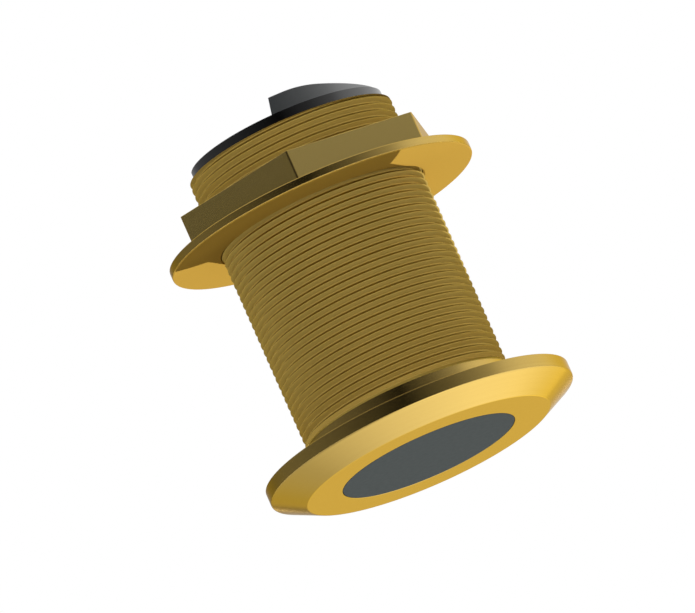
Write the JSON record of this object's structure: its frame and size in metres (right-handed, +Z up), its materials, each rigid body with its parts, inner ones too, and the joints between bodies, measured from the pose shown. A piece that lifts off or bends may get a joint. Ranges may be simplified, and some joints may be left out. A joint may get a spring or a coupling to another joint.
{
  "type": "sonar transducer",
  "caption": "Bronze thru-hull sonar transducer: wide flange with a flush round sonar window, long threaded stem, flanged hex hull nut and a black cable cap on top.",
  "frame": {"origin": "centre of the sonar face, at the underside of the flange", "axes": "+Z up the stem towards the cable cap, +X towards the hood's sloped side"},
  "size_m": [0.0904, 0.0904, 0.1042],
  "materials": {
    "bronze": "satin machined bronze",
    "urethane": "dark grey cast urethane, satin",
    "black_plastic": "black moulded plastic, satin",
    "silvered_ceramic": "fired silver on ceramic",
    "cork_rubber": "cork-filled rubber, matt",
    "solder": "solidified solder",
    "red_insulation": "coloured wire insulation",
    "grey_insulation": "coloured wire insulation",
    "blue_insulation": "coloured wire insulation",
    "ferrite": "ground sintered ferrite",
    "nylon": "natural moulded nylon",
    "enamelled_copper": "enamelled copper wire",
    "brass_hardware": "turned brass",
    "fibre": "vulcanised fibre",
    "bead_coating": "dipped epoxy",
    "tinned_copper": "tinned wire",
    "shrink_sleeve": "shrunk sleeve",
    "potting_compound": "poured compound"
  },
  "bodies": {
    "housing": {"thru_hull_housing": "bronze", "acoustic_window": "urethane", "piezo_disc": "silvered_ceramic", "isolation_sleeve": "cork_rubber", "backing_pad": "cork_rubber", "solder_joints": "solder", "hot_lead": "red_insulation", "ground_lead": "grey_insulation", "core_lower": "ferrite", "core_upper": "ferrite", "bobbin": "nylon", "winding": "enamelled_copper", "core_screw": "brass_hardware", "core_washers": "fibre", "core_nut": "brass_hardware", "output_leads": "blue_insulation", "thermistor": "bead_coating", "thermistor_leads": "tinned_copper", "splice_sleeves": "shrink_sleeve", "potting_fill": "potting_compound", "top_cap": "black_plastic"},
    "nut": {"hull_nut": "bronze"}
  },
  "joints": [
    {"name": "nut_travel", "type": "slide", "parent": "housing", "child": "nut", "axis": [0, 0, 1], "range_m": [-0.0593, 0.0107]}
  ]
}
